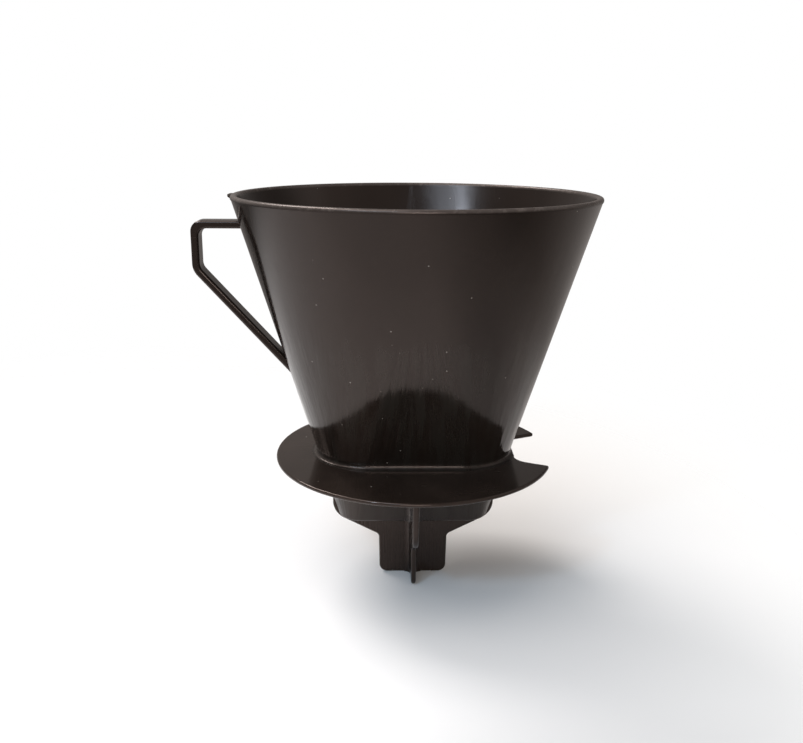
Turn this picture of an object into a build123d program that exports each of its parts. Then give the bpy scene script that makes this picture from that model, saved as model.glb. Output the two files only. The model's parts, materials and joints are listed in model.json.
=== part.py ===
from build123d import *
import os
from math import cos, radians, sin, tan

os.makedirs("parts", exist_ok=True)

# A pour-over coffee dripper: a moulded filter cone with a strap handle, standing on a round disc that
# rests on the mouth of a jug, with four crossed fins below that centre it in the mouth.
# Sizes are in millimetres. The origin is on the cone's axis, in the plane of the disc's underside,
# where the jug touches. +Z is up, the handle is on the -X side and the disc's notch on the +X side.

# Filter cone: round at the rim, an oval with straight sides at the floor, and one straight taper between
rim_radius = 62.7  # before the bead's edge is rounded
rim_height = 93.8
rim_flat = 0.1  # half the straight stretch where the flat front panel runs out at the rim
floor_depth = 24.1  # underside of the floor, below the jug seat
floor_end_radius = 7.9
floor_end_centre = 19.5  # from the axis to the centre of the oval's round ends
wall = 2.2  # measured level
floor_thickness = 2.0
floor_edge_round = 1.5

# Rim bead and the small pointed lug on it above the handle
bead_height = 1.4
bead_stand = 0.2  # how far the bead's lower edge stands out from the wall
bead_round = 0.9
lug_reach = 1.2  # beyond the rim
lug_width = 5.0
lug_tip = 0.8
lug_height = 3.6
lug_drop = 0.3  # below the rounded top of the bead
lug_round = 0.3

# Disc that sits on the jug, with its notch for looking into the jug
disc_radius = 50.0
disc_thickness = 1.4
disc_edge_round = 0.6
foot_margin = 2.3  # level part of the cone's foot around the wall
foot_round = 1.2
notch_land = 1.0  # disc left between the cone's end and the notch
notch_half_width = 11.8  # where the notch's bottom would meet its straight sides
notch_flare = 25.0  # degrees that the sides open from the X axis
notch_round = 6.5
notch_tip_round = 0.8

# Crossed fins below the disc
fin_reach = 29.9
fin_corner_lift = 0.3  # the outer corner, above the floor's underside
fin_corner_round = 7.5
shoulder_drop = 8.5  # where the fins narrow to the spigot, below the floor's underside
shoulder_round = 2.0
spigot_radius = 12.8
spigot_draft = 0.3
spigot_drop = 24.0  # foot of the fins, below the floor's underside
foot_corner_round = 3.0
fin_top_thickness = 2.5
fin_tip_thickness = 1.7
fin_edge_round = 0.7
root_round = 2.2
root_step = 0.1  # thin edge of a root fillet where it runs out on the wall

# Strap handle
handle_standoff = 14.1  # the grip's outer face, beyond the rim
handle_drop = 9.1  # top of the level arm, below the rim
elbow_drop = 26.2  # where the outer faces of the grip and the sloping arm meet, below the rim
arm_slope = 48.0  # degrees below level
strap_width = 7.7
strap_thickness = 2.7
strap_edge_round = 0.9
top_bend = 3.8
top_bend_inside = 2.8
elbow_bend = 6.5

# Ribs inside the cone that keep the paper off the wall
rib_height = 0.9
rib_width = 1.1
rib_gap = 1.5  # from the floor to the ribs' lower ends
rib_top = 58.0
rib_runout = 9.0
panel_rib_pitch = 6.5
panel_rib_count = 5
panel_rib_margin = 0.8  # from the top of a short panel rib to where the flat panel ends
end_rib_step = 30  # degrees between the long ribs round each end
end_rib_count = 5
short_rib_foot = 8.0  # the ribs between the long ones start here, where there is room for them

# Drip holes, one in each quarter beside the crossed fins
drip_hole_radius = 1.75
drip_hole_x = 9.0
drip_hole_y = 3.3

floor_bottom = -floor_depth
floor_top = floor_bottom + floor_thickness
bead_bottom = rim_height - bead_height
handle_reach = rim_radius + handle_standoff
handle_height = rim_height - handle_drop
elbow_height = rim_height - elbow_drop
joint_height = disc_thickness / 2  # level where the cone, the wedge and the fins meet inside the disc
fin_foot = floor_bottom - spigot_drop
spare = 1.0  # how far a cutting shape runs past what it cuts


def rise_share(height):
    """0 at the underside of the floor and 1 at the rim."""
    return (height - floor_bottom) / (rim_height - floor_bottom)


def end_radius(height):
    """Radius of the cone's round ends on its outside."""
    return floor_end_radius + (rim_radius - floor_end_radius) * rise_share(height)


def end_centre(height):
    """Distance from the axis to the centre of the cone's round ends."""
    return floor_end_centre + (rim_flat - floor_end_centre) * rise_share(height)


def cone_slice(height, outset=0.0):
    """The cone's level outline, grown or shrunk all round."""
    SlotCenterToCenter(2 * end_centre(height), 2 * (end_radius(height) + outset))


def tapered_body(low, high, outset=0.0):
    """A solid stretch of the cone between two heights."""
    with BuildPart() as body:
        for height in (low, high):
            with BuildSketch(Plane.XY.offset(height)):
                cone_slice(height, outset)
        loft(ruled=True)
    return body.part


def fin_thickness(height):
    """The fins are thickest in the disc and thin towards the foot, for draft."""
    share = (joint_height - height) / (joint_height - fin_foot)
    return fin_top_thickness + (fin_tip_thickness - fin_top_thickness) * share


# Solids that the pieces are cut with
cone_outside = tapered_body(floor_bottom, rim_height)
cone_inside = tapered_body(floor_top, rim_height, -wall)

with BuildPart() as wedge_block:
    add(tapered_body(floor_bottom, joint_height))
    fillet(faces().sort_by(Axis.Z)[0].edges(), floor_edge_round)

# The notch reaches in to a thin land beside the cone's end, and its sides open towards the disc's edge
notch_bottom = end_centre(disc_thickness) + end_radius(disc_thickness) + notch_land
notch_mouth = disc_radius + notch_round
notch_mouth_half_width = notch_half_width + (notch_mouth - notch_bottom) * tan(radians(notch_flare))
with BuildPart() as notch_block:
    with BuildSketch(Plane.XY.offset(-spare)):
        with BuildLine():
            FilletPolyline(
                (notch_mouth, -notch_mouth_half_width),
                (notch_bottom, -notch_half_width),
                (notch_bottom, notch_half_width),
                (notch_mouth, notch_mouth_half_width),
                radius=notch_round,
            )
            Line((notch_mouth, notch_mouth_half_width), (notch_mouth, -notch_mouth_half_width))
        make_face()
    extrude(amount=spare + disc_thickness + 2 * foot_round)

# Centre of the cross below the floor, with rounded roots between the fins
with BuildPart() as fin_core:
    for height in (fin_foot, floor_bottom):
        root_centre = fin_thickness(height) / 2 + root_round
        with BuildSketch(Plane.XY.offset(height)):
            Rectangle(2 * root_centre, 2 * root_centre)
            with GridLocations(2 * root_centre, 2 * root_centre, 2, 2):
                Circle(root_round, mode=Mode.SUBTRACT)
    loft(ruled=True)
fin_core.part.label = "fin_core"

# One fin along +X: a stepped plate with draft and rounded outer edges
with BuildPart() as fin_blade:
    with BuildSketch(Plane.XZ):
        with BuildLine():
            FilletPolyline(
                (fin_reach, joint_height),
                (fin_reach, floor_bottom + fin_corner_lift),
                (spigot_radius, floor_bottom - shoulder_drop),
                (spigot_radius - spigot_draft, fin_foot),
                (0, fin_foot),
                radius=[fin_corner_round, shoulder_round, foot_corner_round],
            )
            Polyline((0, fin_foot), (0, joint_height), (fin_reach, joint_height))
        make_face()
    extrude(amount=fin_top_thickness / 2, both=True)
    with BuildSketch(Plane.YZ):
        with BuildLine():
            Polyline(
                (-fin_top_thickness / 2, joint_height),
                (fin_top_thickness / 2, joint_height),
                (fin_tip_thickness / 2, fin_foot),
                (-fin_tip_thickness / 2, fin_foot),
                close=True,
            )
        make_face()
    extrude(amount=fin_reach + spare, mode=Mode.INTERSECT)
    side_edges = faces().filter_by(lambda face: abs(face.normal_at().Y) > 0.9).edges()
    fillet(
        side_edges.filter_by(
            lambda edge: edge.center().Z < joint_height - 0.1 and edge.center().X > 0.1
        ),
        fin_edge_round,
    )

# Flared root of a fin on the cone's flat panel, along +X before it is turned into place
with BuildPart() as panel_root:
    for height in (floor_bottom, joint_height):
        root_start = end_radius(height) - spare
        root_end = end_radius(height) + root_step + root_round
        root_width = fin_thickness(height) + 2 * root_round
        with BuildSketch(Plane.XY.offset(height)):
            with Locations(((root_start + root_end) / 2, 0)):
                Rectangle(root_end - root_start, root_width)
            with Locations((root_end, root_width / 2), (root_end, -root_width / 2)):
                Circle(root_round, mode=Mode.SUBTRACT)
    loft(ruled=True)

with BuildPart() as fin_front:
    add(fin_blade.part, rotation=(0, 0, -90))
    add(panel_root.part, rotation=(0, 0, -90))
    add(wedge_block.part, mode=Mode.SUBTRACT)
    add(fin_core.part, mode=Mode.SUBTRACT)
fin_front.part.label = "fin_front"

with BuildPart() as fin_back:
    add(fin_blade.part, rotation=(0, 0, 90))
    add(panel_root.part, rotation=(0, 0, 90))
    add(wedge_block.part, mode=Mode.SUBTRACT)
    add(fin_core.part, mode=Mode.SUBTRACT)
fin_back.part.label = "fin_back"

with BuildPart() as fin_handle_side:
    add(fin_blade.part, rotation=(0, 0, 180))
    add(wedge_block.part, mode=Mode.SUBTRACT)
    add(fin_core.part, mode=Mode.SUBTRACT)
fin_handle_side.part.label = "fin_handle_side"

with BuildPart() as fin_notch_side:
    add(fin_blade.part)
    add(wedge_block.part, mode=Mode.SUBTRACT)
    add(fin_core.part, mode=Mode.SUBTRACT)
fin_notch_side.part.label = "fin_notch_side"

fins = [fin_front, fin_back, fin_handle_side, fin_notch_side]

# Upper wall of the cone, with the level foot that sits in the disc and the fillet between them
with BuildPart() as cone_wall:
    add(tapered_body(joint_height, bead_bottom))
    with BuildSketch(Plane.XY.offset(joint_height)):
        cone_slice(disc_thickness, foot_margin)
    extrude(amount=disc_thickness - joint_height)
    foot_face = faces().filter_by(Axis.Z).sort_by(Axis.Z)[1]
    fillet(foot_face.inner_wires().edges(), foot_round)
    add(cone_inside, mode=Mode.SUBTRACT)
    add(notch_block.part, mode=Mode.SUBTRACT)
cone_wall.part.label = "cone_wall"

# Rounded bead round the mouth
with BuildPart() as rim_bead:
    with BuildSketch(Plane.XY.offset(bead_bottom)):
        cone_slice(bead_bottom, bead_stand)
    with BuildSketch(Plane.XY.offset(rim_height)):
        cone_slice(rim_height)
    loft(ruled=True)
    add(cone_inside, mode=Mode.SUBTRACT)
    fillet(faces().sort_by(Axis.Z)[-1].edges(), bead_round)
rim_bead.part.label = "rim_bead"

# Pointed lug on the rim, above the handle
lug_top = rim_height - lug_drop
with BuildPart() as rim_lug:
    with BuildSketch(Plane.XZ):
        with BuildLine():
            Polyline(
                (-rim_radius + wall, lug_top),
                (-rim_radius - lug_reach, lug_top),
                (-rim_radius - lug_reach, lug_top - lug_tip),
                (-rim_radius + wall, lug_top - lug_height),
                close=True,
            )
        make_face()
    extrude(amount=lug_width / 2, both=True)
    fillet(edges().group_by(Axis.X)[0], lug_round)
    add(rim_bead.part, mode=Mode.SUBTRACT)
    add(cone_outside, mode=Mode.SUBTRACT)
rim_lug.part.label = "rim_lug"

# Handle: one strap bent twice, from the wall out, down and back to the wall. Both arms are drawn on into
# the cone, where they are cut away.
strap_start = -end_centre(0)
arm_run = handle_reach + strap_start
elbow_lift = strap_thickness * (1 - sin(radians(arm_slope))) / cos(radians(arm_slope))
inner_reach = handle_reach - strap_thickness
arm_foot_drop = arm_run * tan(radians(arm_slope))
with BuildPart() as handle_strap:
    with BuildSketch(Plane.XZ):
        with BuildLine():
            outer_path = FilletPolyline(
                (strap_start, handle_height),
                (-handle_reach, handle_height),
                (-handle_reach, elbow_height),
                (strap_start, elbow_height - arm_foot_drop),
                radius=[top_bend, elbow_bend],
            )
            inner_path = FilletPolyline(
                (strap_start, handle_height - strap_thickness),
                (-inner_reach, handle_height - strap_thickness),
                (-inner_reach, elbow_height + elbow_lift),
                (strap_start + strap_thickness, elbow_height + elbow_lift - arm_foot_drop),
                radius=[top_bend_inside, elbow_bend - strap_thickness],
            )
            Line(outer_path @ 0, inner_path @ 0)
            Line(outer_path @ 1, inner_path @ 1)
        make_face()
    extrude(amount=strap_width / 2, both=True)
    fillet(
        faces().filter_by(lambda face: abs(face.normal_at().Y) > 0.9).edges(),
        strap_edge_round,
    )
    add(cone_outside, mode=Mode.SUBTRACT)

# The strap parts where its straight arms begin, just past the two bends
middle_level = Plane.XY.offset((handle_height + elbow_height) / 2)
top_parting = Plane(
    origin=(-handle_reach + top_bend + spare, 0, handle_height), z_dir=(1, 0, 0)
)
elbow_parting = Plane(
    origin=(-handle_reach, 0, elbow_height),
    z_dir=(cos(radians(arm_slope)), 0, -sin(radians(arm_slope))),
).offset(elbow_bend)

with BuildPart() as handle_top_arm:
    add(handle_strap.part)
    split(bisect_by=top_parting, keep=Keep.TOP)
    split(bisect_by=middle_level, keep=Keep.TOP)
handle_top_arm.part.label = "handle_top_arm"

with BuildPart() as handle_lower_arm:
    add(handle_strap.part)
    split(bisect_by=elbow_parting, keep=Keep.TOP)
    split(bisect_by=middle_level, keep=Keep.BOTTOM)
handle_lower_arm.part.label = "handle_lower_arm"

with BuildPart() as handle_grip:
    add(handle_strap.part)
    add(handle_top_arm.part, mode=Mode.SUBTRACT)
    add(handle_lower_arm.part, mode=Mode.SUBTRACT)
handle_grip.part.label = "handle_grip"

# Disc: rounded at its edge and round the notch, let in for the cone's foot, the wedge and the fins
with BuildPart() as base_disc:
    with BuildSketch(Plane.XY):
        Circle(disc_radius)
    extrude(amount=disc_thickness)
    add(notch_block.part, mode=Mode.SUBTRACT)
    fillet(edges().filter_by(Axis.Z).group_by(Axis.X)[-1], notch_tip_round)
    fillet(faces().filter_by(Axis.Z).edges(), disc_edge_round)
    with BuildSketch(Plane.XY.offset(joint_height)):
        cone_slice(disc_thickness, foot_margin)
    extrude(amount=disc_thickness, mode=Mode.SUBTRACT)
    add(cone_outside, mode=Mode.SUBTRACT)
    for fin in fins:
        add(fin.part, mode=Mode.SUBTRACT)
base_disc.part.label = "base_disc"

# Lower end of the cone, below the disc
with BuildPart() as outlet_wedge:
    add(wedge_block.part)
    add(tapered_body(floor_bottom - spare, joint_height + spare, -wall), mode=Mode.SUBTRACT)
outlet_wedge.part.label = "outlet_wedge"

# Floor of the cone, with the drip holes
with BuildPart() as filter_floor:
    add(tapered_body(floor_bottom, floor_top, -wall))
    with Locations(Plane.XY.offset(floor_top)):
        with GridLocations(2 * drip_hole_x, 2 * drip_hole_y, 2, 2):
            Hole(drip_hole_radius)
filter_floor.part.label = "filter_floor"


def wall_point(along, turn, height):
    """A point on the inside of the cone's wall, level with height, where the wall faces the turn angle."""
    reach = end_radius(height) - wall
    return Vector(along + reach * cos(radians(turn)), reach * sin(radians(turn)), height)


def rib_solid(foot, head, turn):
    """One straight rib up the inside of the wall, running out into the wall at its head."""
    rise = head - foot
    outward = Vector(cos(radians(turn)), sin(radians(turn)), 0)
    with BuildPart() as rib:
        with BuildSketch(Plane(origin=foot, x_dir=rise, z_dir=rise.cross(outward))):
            with BuildLine():
                Polyline(
                    (0, wall / 2),
                    (rise.length, wall / 2),
                    (rise.length, 0),
                    (rise.length - rib_runout, -rib_height),
                    (0, -rib_height),
                    close=True,
                )
            make_face()
        extrude(amount=rib_width / 2, both=True)
        add(cone_inside, mode=Mode.INTERSECT)
    return rib.part


def panel_ribs(turn):
    """Upright ribs on a flat panel, each as tall as the narrowing panel allows."""
    ribs = []
    foot_height = floor_top + rib_gap
    for number in range(panel_rib_count):
        along = (number - (panel_rib_count - 1) / 2) * panel_rib_pitch
        panel_left = (floor_end_centre - abs(along) - panel_rib_margin) / (floor_end_centre - rim_flat)
        panel_end = floor_bottom + panel_left * (rim_height - floor_bottom)
        head_height = min(rib_top, panel_end)
        ribs.append(
            rib_solid(wall_point(along, turn, foot_height), wall_point(along, turn, head_height), turn)
        )
    return ribs


def end_ribs(side):
    """Ribs round one end of the cone, long and short in turn, each straight up the taper."""
    ribs = []
    half_steps = end_rib_count - 1
    for number in range(-half_steps - 1, half_steps + 2):
        turn = number * end_rib_step / 2 + (0 if side > 0 else 180)
        is_long = (number - half_steps) % 2 == 0
        foot_height = floor_top + rib_gap if is_long else short_rib_foot
        foot = wall_point(side * end_centre(foot_height), turn, foot_height)
        head = wall_point(side * end_centre(rib_top), turn, rib_top)
        ribs.append(rib_solid(foot, head, turn))
    return ribs


rib_groups = {
    "inner_ribs_front": panel_ribs(-90),
    "inner_ribs_back": panel_ribs(90),
    "inner_ribs_handle_end": end_ribs(-1),
    "inner_ribs_notch_end": end_ribs(1),
}

pieces = [
    cone_wall,
    rim_bead,
    rim_lug,
    handle_top_arm,
    handle_grip,
    handle_lower_arm,
    base_disc,
    outlet_wedge,
    filter_floor,
    fin_core,
    *fins,
]
for group_name, rib_solids in rib_groups.items():
    with BuildPart() as rib_group:
        add(rib_solids)
    rib_group.part.label = group_name
    pieces.append(rib_group)

for piece in pieces:
    export_step(piece.part, f"parts/{piece.part.label}.step")
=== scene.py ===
import json
import math

import bpy
from mathutils import Matrix, Vector


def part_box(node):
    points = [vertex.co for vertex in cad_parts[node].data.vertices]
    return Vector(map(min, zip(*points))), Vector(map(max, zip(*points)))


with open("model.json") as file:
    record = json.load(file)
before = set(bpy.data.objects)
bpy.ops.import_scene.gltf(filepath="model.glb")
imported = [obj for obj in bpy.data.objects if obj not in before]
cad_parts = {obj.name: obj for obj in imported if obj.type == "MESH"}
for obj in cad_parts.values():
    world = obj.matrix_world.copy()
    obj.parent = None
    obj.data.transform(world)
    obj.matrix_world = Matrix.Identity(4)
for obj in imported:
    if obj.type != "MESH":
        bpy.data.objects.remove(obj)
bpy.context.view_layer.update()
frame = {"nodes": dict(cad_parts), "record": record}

MM = 0.001

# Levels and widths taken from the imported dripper
rim_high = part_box("rim_bead")[1]
wedge_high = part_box("outlet_wedge")[1]
disc_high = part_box("base_disc")[1]
table_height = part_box("fin_core")[0].z

# The cone's round ends close in on the axis at a steady rate from the disc up to the rim
end_centre_low = wedge_high.x - wedge_high.y
end_centre_slope = ((rim_high.x - rim_high.y) - end_centre_low) / (rim_high.z - wedge_high.z)
end_centre_at_seat = end_centre_low - end_centre_slope * wedge_high.z
end_radius_slope = (rim_high.y - wedge_high.y) / (rim_high.z - wedge_high.z)
end_radius_at_seat = wedge_high.y - end_radius_slope * wedge_high.z

# Dark brown of the pigment, and the warm cast of its gloss
BROWN = (0.0122, 0.0087, 0.0070)
WARM_SHEEN = (0.92, 0.73, 0.66, 1.0)
# Grey painted along the cone's sink streaks, a painted reflection of an uneven room mirrored in
# them
STREAK_REFLECTION_GREY = (0.021, 0.0185, 0.0155, 1.0)
PALE_DUST = (0.30, 0.28, 0.25, 1.0)
# Lighter brown painted along the rim's top, as a painted highlight
RIM_TOP_HIGHLIGHT = (0.11, 0.090, 0.080, 1.0)

# Heights above the jug seat between which a finish changes
STREAKS_FADE = (44 * MM, 68 * MM)
FOOT_ROUNDING = (1.8 * MM, 3.4 * MM)

# Depths of relief, in metres
SINK_DEPTH = 0.00022
UNEVEN_DEPTH = 0.000022
BEAD_WAVE_DEPTH = 0.00006
NICK_DEPTH = 0.00002
STRAP_SCUFF_DEPTH = 0.000006
DISC_SCUFF_DEPTH = 0.000005
DRAG_DEPTH = 0.00001


class Finish:
    """A material being mixed: its shader, and short ways to add nodes and join them up."""

    def __init__(self, name):
        self.material = bpy.data.materials.new(name)
        self.material.use_nodes = True
        self.tree = self.material.node_tree
        self.shader = self.tree.nodes["Principled BSDF"]
        self.place = self.tree.nodes.new("ShaderNodeTexCoord").outputs["Object"]

    def fill(self, socket, value):
        if isinstance(value, bpy.types.NodeSocket):
            self.tree.links.new(value, socket)
        else:
            socket.default_value = value

    def calc(self, operation, *values):
        """One step of arithmetic on sockets or plain numbers."""
        step = self.tree.nodes.new("ShaderNodeMath")
        step.operation = operation
        for socket, value in zip(step.inputs, values):
            self.fill(socket, value)
        return step.outputs["Value"]

    def level_distance(self, x, y):
        """How far (x, y) is from the origin, measured level."""
        squares = self.calc("ADD", self.calc("POWER", x, 2.0), self.calc("POWER", y, 2.0))
        return self.calc("SQRT", squares)

    def axes(self):
        split = self.tree.nodes.new("ShaderNodeSeparateXYZ")
        self.fill(split.inputs["Vector"], self.place)
        return split.outputs["X"], split.outputs["Y"], split.outputs["Z"]

    def joined(self, x, y, z):
        join = self.tree.nodes.new("ShaderNodeCombineXYZ")
        for socket, value in zip(join.inputs, (x, y, z)):
            self.fill(socket, value)
        return join.outputs["Vector"]

    def stretched(self, scale, turn=(0, 0, 0)):
        """Object coordinates, turned and then stretched, for a pattern that runs one way."""
        mapping = self.tree.nodes.new("ShaderNodeMapping")
        mapping.vector_type = "POINT"
        self.fill(mapping.inputs["Vector"], self.place)
        mapping.inputs["Rotation"].default_value = turn
        mapping.inputs["Scale"].default_value = scale
        return mapping.outputs["Vector"]

    def noise(self, scale, detail=2.0, roughness=0.5, where=None, drift=None):
        cloud = self.tree.nodes.new("ShaderNodeTexNoise")
        if drift is not None:
            cloud.noise_dimensions = "4D"
            self.fill(cloud.inputs["W"], drift)
        self.fill(cloud.inputs["Vector"], where or self.place)
        cloud.inputs["Scale"].default_value = scale
        cloud.inputs["Detail"].default_value = detail
        cloud.inputs["Roughness"].default_value = roughness
        return cloud.outputs["Fac"]

    def graded(self, value, low, high, start=0.0, end=1.0):
        """value between low and high, spread from start to end and held there beyond."""
        grade = self.tree.nodes.new("ShaderNodeMapRange")
        grade.interpolation_type = "SMOOTHSTEP"
        keys = ("Value", "From Min", "From Max", "To Min", "To Max")
        for key, number in zip(keys, (value, low, high, start, end)):
            self.fill(grade.inputs[key], number)
        return grade.outputs["Result"]

    def blended(self, share, first, second, how="MIX"):
        mix = self.tree.nodes.new("ShaderNodeMix")
        mix.data_type = "RGBA"
        mix.blend_type = how
        for key, value in zip((0, 6, 7), (share, first, second)):
            self.fill(mix.inputs[key], value)
        return mix.outputs[2]

    def relief(self, height, depth, below=None):
        """Bumps of the given depth in metres, laid over the relief below."""
        bump = self.tree.nodes.new("ShaderNodeBump")
        bump.inputs["Strength"].default_value = 1.0
        bump.inputs["Distance"].default_value = depth
        self.fill(bump.inputs["Height"], height)
        if below is not None:
            self.fill(bump.inputs["Normal"], below)
        return bump.outputs["Normal"]


def pigment(finish, colour=BROWN, contrast=0.28):
    """Brown that drifts lighter and darker, as the pigment spread in the melt."""
    dark = (*[c * (1 - contrast) for c in colour], 1)
    light = (*[c * (1 + contrast) for c in colour], 1)
    tone_and_reflection = finish.noise(26.0, 3.0, 0.6, where=finish.stretched((1.0, 1.0, 0.45)))
    return finish.blended(finish.graded(tone_and_reflection, 0.3, 0.7), dark, light)


def handled_gloss(finish, gloss, spread=0.35):
    """Roughness that varies with wiping and old finger marks."""
    marks = finish.noise(38.0, 4.0, 0.55)
    smear = finish.noise(9.0, 2.0, 0.5, where=finish.stretched((1.0, 3.0, 1.0), (0.3, 0.2, 0.5)))
    both = finish.calc("MULTIPLY_ADD", smear, 0.5, finish.calc("MULTIPLY", marks, 0.5))
    return finish.graded(both, 0.36, 0.66, gloss * (1 - spread), gloss * (1 + spread))


def mould_grain(finish, depth=0.0000025):
    """The faint even skin that the mould leaves, with long soft unevenness under it."""
    soft = finish.relief(finish.noise(70.0, 1.0, 0.4), UNEVEN_DEPTH)
    return finish.relief(finish.noise(2600.0, 2.0, 0.5), depth, soft)


def dust_specks(finish, paint, cell=6.0 * MM, reach=0.31 * MM):
    """Tiny pale flecks of dust and paper fibre, here and there."""
    spots = finish.tree.nodes.new("ShaderNodeTexVoronoi")
    finish.fill(spots.inputs["Vector"], finish.place)
    spots.inputs["Scale"].default_value = 1 / cell
    edge = reach / cell
    fleck = finish.graded(spots.outputs["Distance"], edge * 0.5, edge, 0.9, 0.0)
    return finish.blended(fleck, paint, PALE_DUST)


def scratches(finish, turn, scale, thin=0.68):
    """Hairline scratches that run one way: 1 on a scratch and 0 beside it."""
    lines = finish.noise(1.0, 1.0, 0.4, where=finish.stretched(scale, turn))
    patches = finish.noise(60.0, 1.0, 0.5)
    here = finish.graded(patches, 0.5, 0.62)
    return finish.calc("MULTIPLY", finish.graded(lines, thin, thin + 0.04), here)


def up_the_taper(finish):
    """A place that stays the same straight up the cone's taper: which way the wall faces there,
    and how far along the flat panel it is. With it come the reach from the middle of the round
    end, and the height."""
    x, y, z = finish.axes()
    centre = finish.calc("MULTIPLY_ADD", z, end_centre_slope, end_centre_at_seat)
    centre = finish.calc("MAXIMUM", centre, 0.4 * MM)
    beyond = finish.calc("SUBTRACT", finish.calc("ABSOLUTE", x), centre)
    beyond = finish.calc("MAXIMUM", beyond, 0.0)
    reach = finish.level_distance(beyond, y)
    facing_x = finish.calc("DIVIDE", beyond, reach)
    facing_x = finish.calc("MULTIPLY", facing_x, finish.calc("SIGN", x))
    facing_y = finish.calc("DIVIDE", y, reach)
    panel = finish.calc("MAXIMUM", finish.calc("DIVIDE", x, centre), -1.0)
    panel = finish.calc("MINIMUM", panel, 1.0)
    along = finish.calc("MULTIPLY", panel, 0.55)
    return finish.joined(facing_x, facing_y, along), reach, z


def finished(finish, paint, rough, relief):
    finish.fill(finish.shader.inputs["Base Color"], paint)
    finish.fill(finish.shader.inputs["Roughness"], rough)
    finish.fill(finish.shader.inputs["Normal"], relief)
    finish.shader.inputs["IOR"].default_value = 1.5
    finish.shader.inputs["Specular Tint"].default_value = WARM_SHEEN
    return finish.material


def cone_finish():
    """Glossy wall, dulled inside by coffee and less polished in the rounding at its foot. Sink
    streaks run up the taper over its lower part, where ribs stand inside."""
    finish = Finish("cone_brown")
    wall_place, reach, height = up_the_taper(finish)
    skin = finish.calc("MULTIPLY_ADD", height, end_radius_slope, end_radius_at_seat - 1.0 * MM)
    inside = finish.calc("LESS_THAN", reach, skin)
    beside_ribs = finish.graded(height, *STREAKS_FADE, 1.0, 0.0)
    fade = finish.calc("MAXIMUM", beside_ribs, finish.calc("MULTIPLY", inside, 0.28))
    creep = finish.calc("MULTIPLY", height, 5.0)
    coarse = finish.noise(9.0, 2.0, 0.5, where=wall_place, drift=creep)
    fine = finish.noise(22.0, 2.0, 0.6, where=wall_place, drift=creep)
    sunk = finish.calc("MULTIPLY_ADD", coarse, 0.7, finish.calc("MULTIPLY", fine, 0.3))
    streaks = finish.calc("MULTIPLY", sunk, fade)
    relief = finish.relief(streaks, SINK_DEPTH, mould_grain(finish))
    gloss = handled_gloss(finish, 0.11)
    foot = finish.graded(height, *FOOT_ROUNDING, 0.16, 0.0)
    steeped = finish.calc("MULTIPLY_ADD", inside, 0.13, foot)
    dull = finish.calc("MULTIPLY_ADD", finish.graded(streaks, 0.4, 0.65), 0.05, steeped)
    # Painted reflection: the sink streaks are painted lighter grey, as if they mirrored a brighter
    # part of the room
    streak_reflection = finish.graded(streaks, 0.35, 0.62, 0.0, 0.75)
    tone_and_reflection = finish.blended(streak_reflection, pigment(finish), STREAK_REFLECTION_GREY)
    paint = dust_specks(finish, tone_and_reflection)
    return finished(finish, paint, finish.calc("ADD", gloss, dull), relief)


def rim_finish():
    """The bead and its lug, painted lighter along the top as a painted highlight of the overhead
    light on the rounded bead, broken up by small nicks.
    """
    finish = Finish("rim_brown")
    z = finish.axes()[2]
    # Painted highlight along the top of the bead, patchy where the nicks fall
    top = finish.graded(z, rim_high.z - 1.3 * MM, rim_high.z - 0.6 * MM)
    nicks = finish.graded(finish.noise(420.0, 3.0, 0.6), 0.5, 0.68)
    wear_and_highlight = finish.calc("MULTIPLY", top, finish.calc("MULTIPLY_ADD", nicks, 0.35, 0.5))
    paint = finish.blended(wear_and_highlight, pigment(finish), RIM_TOP_HIGHLIGHT)
    rough = finish.calc("MULTIPLY_ADD", wear_and_highlight, 0.1, handled_gloss(finish, 0.2))
    wavy = finish.relief(finish.noise(95.0, 1.0, 0.4), BEAD_WAVE_DEPTH, mould_grain(finish))
    return finished(finish, paint, rough, finish.relief(nicks, NICK_DEPTH, wavy))


def handle_finish():
    """Strap polished by the fingers, with fine scuffs along it."""
    finish = Finish("handle_brown")
    scuffs = scratches(finish, (0.0, math.radians(42), 0.0), (90.0, 900.0, 1500.0))
    gloss = handled_gloss(finish, 0.17)
    rough = finish.calc("MULTIPLY_ADD", scuffs, 0.15, gloss)
    paint = dust_specks(finish, pigment(finish, contrast=0.3), cell=9.0 * MM)
    relief = finish.relief(scuffs, STRAP_SCUFF_DEPTH, mould_grain(finish))
    return finished(finish, paint, rough, relief)


def disc_finish():
    """The disc, scuffed by jug mouths and by wiping round the cone's foot."""
    finish = Finish("disc_brown")
    x, y = finish.axes()[:2]
    out = finish.level_distance(x, y)
    edge = finish.graded(out, disc_high.y - 1.2 * MM, disc_high.y - 0.2 * MM)
    nicks = finish.graded(finish.noise(380.0, 3.0, 0.6), 0.5, 0.66)
    wear_and_highlight = finish.calc("MULTIPLY", edge, finish.calc("MULTIPLY_ADD", nicks, 0.6, 0.4))
    across = scratches(finish, (0.0, 0.0, math.radians(24)), (60.0, 1500.0, 1.0))
    along = scratches(finish, (0.0, 0.0, math.radians(-51)), (75.0, 1700.0, 1.0))
    scuffs = finish.calc("MAXIMUM", across, along)
    # The disc's brown is painted lighter than the cone's, as painted light standing in for the
    # light it lacks beneath the cone
    painted_lit_brown = [c * 1.8 for c in BROWN]
    rubbed = (*[c * 2.2 for c in BROWN], 1)
    paint = finish.blended(wear_and_highlight, dust_specks(finish, pigment(finish, painted_lit_brown)), rubbed)
    rough = finish.calc("MULTIPLY_ADD", scuffs, 0.2, handled_gloss(finish, 0.14))
    relief = finish.relief(scuffs, DISC_SCUFF_DEPTH, mould_grain(finish))
    return finished(finish, paint, rough, relief)


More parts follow.
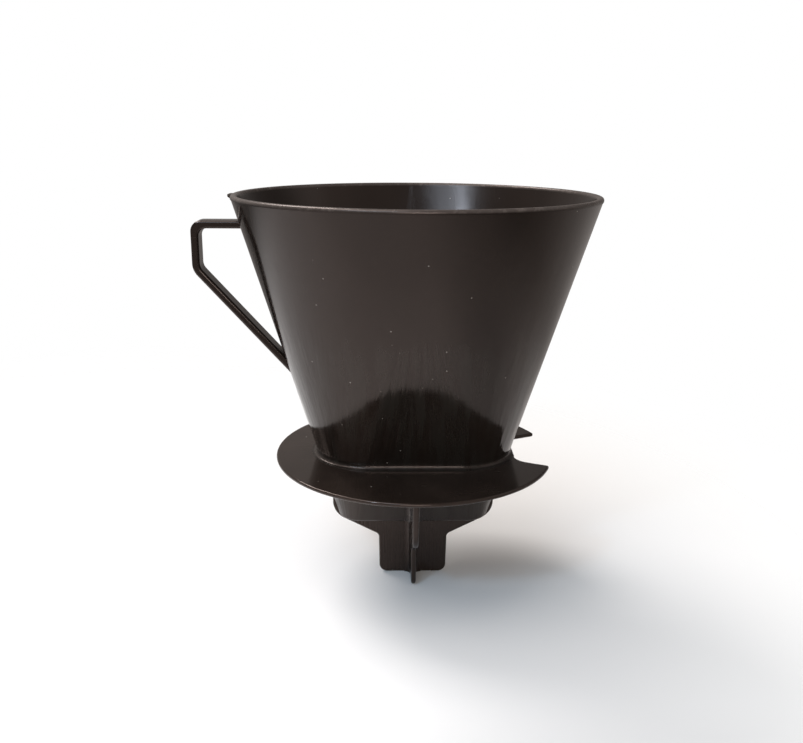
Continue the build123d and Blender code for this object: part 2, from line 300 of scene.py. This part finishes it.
def fin_finish():
    """Fins and cross, less polished than the cone, with drag marks from the mould down them."""
    finish = Finish("fin_brown")
    drag = finish.noise(1.0, 2.0, 0.6, where=finish.stretched((900.0, 900.0, 22.0)))
    dull = finish.graded(drag, 0.45, 0.7)
    rough = finish.calc("MULTIPLY_ADD", dull, 0.08, handled_gloss(finish, 0.2))
    paint = dust_specks(finish, pigment(finish, contrast=0.3), cell=9.0 * MM)
    return finished(finish, paint, rough, finish.relief(drag, DRAG_DEPTH, mould_grain(finish)))


finishes = {
    "cone_plastic": cone_finish(),
    "rim_plastic": rim_finish(),
    "handle_plastic": handle_finish(),
    "disc_plastic": disc_finish(),
    "fin_plastic": fin_finish(),
}
for part in frame["record"]["subparts"]:
    shell = frame["nodes"][part["node"]].data
    shell.materials.clear()
    shell.materials.append(finishes[part["material_slot"]])

# Pale table top, fading out into the white beyond it, and painted a little darker towards the front
# as painted shade
TABLE_RADIUS = 0.6
TABLE_FADE = (150 * MM, 370 * MM)  # measured from a point on the handle's side
TABLE_FADE_X = -130 * MM
TABLE_FRONT_SHADE = (-140 * MM, -80 * MM)
bpy.ops.object.select_all(action="DESELECT")
bpy.ops.mesh.primitive_circle_add(
    vertices=96, radius=TABLE_RADIUS, fill_type="NGON", location=(0, 0, table_height)
)
table = bpy.context.object
table.name = "table_top"
table_paint = Finish("pale_table")
table_x, table_y = table_paint.axes()[:2]
table_out = table_paint.level_distance(table_paint.calc("SUBTRACT", table_x, TABLE_FADE_X), table_y)
table_faint = table_paint.graded(table_paint.noise(3.0, 3.0, 0.5), 0.3, 0.7)
table_pale = table_paint.blended(table_faint, (0.88, 0.88, 0.88, 1), (0.90, 0.90, 0.90, 1))
# Painted shade: the table's colour darkens towards the front
table_front_shade = table_paint.graded(table_y, *TABLE_FRONT_SHADE)
table_paint.fill(
    table_paint.shader.inputs["Base Color"],
    table_paint.blended(table_front_shade, (0.68, 0.68, 0.68, 1), table_pale),
)
table_paint.fill(
    table_paint.shader.inputs["Alpha"], table_paint.graded(table_out, *TABLE_FADE, 1.0, 0.0)
)
table_paint.shader.inputs["Roughness"].default_value = 0.8
table_paint.shader.inputs["Specular IOR Level"].default_value = 0.1
table.data.materials.append(table_paint.material)


def air_product(tree, first, second):
    """One number of the air times another."""
    product = tree.nodes.new("ShaderNodeMath")
    product.operation = "MULTIPLY"
    tree.links.new(first, product.inputs[0])
    tree.links.new(second, product.inputs[1])
    return product.outputs["Value"]


def air_graded(tree, value, low, high, start, end):
    """A number of the air, spread evenly from start to end while value goes from low to high."""
    grade = tree.nodes.new("ShaderNodeMapRange")
    keys = ("From Min", "From Max", "To Min", "To Max")
    for key, number in zip(keys, (low, high, start, end)):
        grade.inputs[key].default_value = number
    tree.links.new(value, grade.inputs["Value"])
    return grade.outputs["Result"]


def studio_air():
    """White behind everything, in a dim warm room. High up it is brighter in front to the right
    and behind to the left, and low down in the two other corners. The front ceiling is darker."""
    world = bpy.data.worlds.new("studio")
    world.use_nodes = True
    tree = world.node_tree
    towards = tree.nodes.new("ShaderNodeTexCoord").outputs["Generated"]
    split = tree.nodes.new("ShaderNodeSeparateXYZ")
    tree.links.new(towards, split.inputs["Vector"])
    right, back, up = split.outputs["X"], split.outputs["Y"], split.outputs["Z"]

    corners = air_product(tree, air_product(tree, right, back), up)
    room = air_graded(tree, corners, -0.13, 0.13, 0.43, 0.12)
    shade = air_graded(tree, air_product(tree, back, up), -0.42, -0.2, 0.6, 1.0)

    seen = tree.nodes.new("ShaderNodeLightPath").outputs["Is Camera Ray"]
    strength = tree.nodes.new("ShaderNodeMix")
    strength.data_type = "FLOAT"
    strength.inputs[3].default_value = 1.0
    tree.links.new(seen, strength.inputs[0])
    tree.links.new(air_product(tree, room, shade), strength.inputs[2])

    tint = tree.nodes.new("ShaderNodeMix")
    tint.data_type = "RGBA"
    tint.inputs[6].default_value = (1.0, 0.92, 0.87, 1)
    tint.inputs[7].default_value = (1.0, 1.0, 1.0, 1)
    tree.links.new(seen, tint.inputs[0])

    air = tree.nodes["Background"]
    tree.links.new(tint.outputs[2], air.inputs["Color"])
    tree.links.new(strength.outputs[0], air.inputs["Strength"])
    return world


bpy.context.scene.world = studio_air()


def aimed(name, lamp, place, target):
    holder = bpy.data.objects.new(name, lamp)
    bpy.context.scene.collection.objects.link(holder)
    holder.location = place
    aim = Vector(target) - Vector(place)
    holder.rotation_euler = aim.to_track_quat("-Z", "Y").to_euler()
    return holder


def sky_light(name, direction, energy, spread, colour=(1.0, 0.95, 0.915)):
    """Even light from one side of the sky, as from a large soft box far off."""
    lamp = bpy.data.lights.new(name, "SUN")
    lamp.energy = energy
    lamp.angle = math.radians(spread)
    lamp.color = colour
    return aimed(name, lamp, direction, (0, 0, 0))


def soft_box(name, place, size, power, colour, target):
    lamp = bpy.data.lights.new(name, "AREA")
    lamp.shape = "RECTANGLE"
    lamp.size, lamp.size_y = size
    lamp.energy = power
    lamp.color = colour
    return aimed(name, lamp, place, target)


mouth_centre = Vector((0, 0, rim_high.z))
WINDOW_BLUE = (0.58, 0.79, 1.0)
sky_light("overhead_light", (-0.42, -0.20, 1.0), 1.25, 44)
sky_light("back_light", (-0.62, 0.55, 1.0), 1.85, 26)
soft_box("front_fill", (0.0, -1.0, 0.26), (0.4, 0.22), 2.4, (1.0, 0.97, 0.93), (0, 0, 0))

# A cool window, high in front and towards the handle's side, brightest at its far lower corner
soft_box("window_glow", (-0.50, -0.87, 1.00), (0.80, 0.50), 1.7, WINDOW_BLUE, mouth_centre)
soft_box("window_pane", (-0.36, -0.93, 0.92), (0.24, 0.30), 1.2, WINDOW_BLUE, mouth_centre)
soft_box("window_sky", (-0.60, -0.80, 0.85), (0.13, 0.13), 2.7, WINDOW_BLUE, mouth_centre)

# A pale wall on the notch's side, mirrored by the inside of the cone next to the handle
soft_box("side_wall", (0.88, 0.12, 0.78), (0.8, 0.6), 0.40, (0.94, 0.99, 1.0), mouth_centre)

# Camera at the height and turn that the dripper is seen from
view_turn = math.radians(2.17)  # the dripper stands turned this far to the camera's left
view_pan = math.radians(-0.87)
view_tilt = math.radians(15.42)
view_roll = math.radians(0.40)
view_distance = 307.3 * MM
view_height = 114.2 * MM + disc_high.z
camera_data = bpy.data.cameras.new("camera")
camera_data.sensor_width = 36.0
camera_data.lens = 39.73
camera_data.clip_start = 0.01
camera = bpy.data.objects.new("camera", camera_data)
bpy.context.scene.collection.objects.link(camera)
place = Vector((
    -view_distance * math.sin(view_turn), -view_distance * math.cos(view_turn), view_height
))
turn = (
    Matrix.Rotation(-(view_pan + view_turn), 4, "Z")
    @ Matrix.Rotation(math.pi / 2 - view_tilt, 4, "X")
    @ Matrix.Rotation(view_roll, 4, "Z")
)
camera.matrix_world = Matrix.Translation(place) @ turn
bpy.context.scene.camera = camera

bpy.context.scene.view_settings.view_transform = "Standard"
